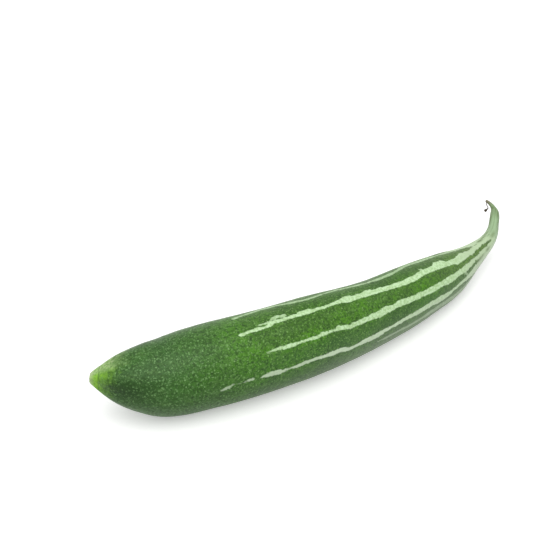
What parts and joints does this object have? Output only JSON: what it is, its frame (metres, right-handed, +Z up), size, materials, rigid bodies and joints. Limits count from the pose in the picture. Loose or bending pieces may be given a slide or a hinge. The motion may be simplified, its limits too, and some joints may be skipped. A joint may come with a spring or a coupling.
{
  "type": "snake gourd",
  "caption": "Whole snake gourd as picked: a long bent green fruit with pale stripes, tapering from a ribbed cut stalk to a hooked beak with a withered flower.",
  "frame": {"origin": "middle of the bounding box's underside, on the surface that the gourd lies on", "axes": "+Z up from that surface; +X from the cut stalk to the blossom end; +Y towards the side that the beak hooks to"},
  "size_m": [0.3096, 0.0658, 0.0437],
  "materials": {
    "gourd_skin": "waxy green skin with pale ragged stripes and fine pale speckles, satin",
    "stalk": "yellow-green ribbed stalk, pale where it is cut, matt",
    "dried_flower": "dry dark brown, matt"
  },
  "bodies": {
    "root": {"gourd_fruit": "gourd_skin", "cut_stalk": "stalk", "withered_flower": "dried_flower"}
  },
  "joints": []
}
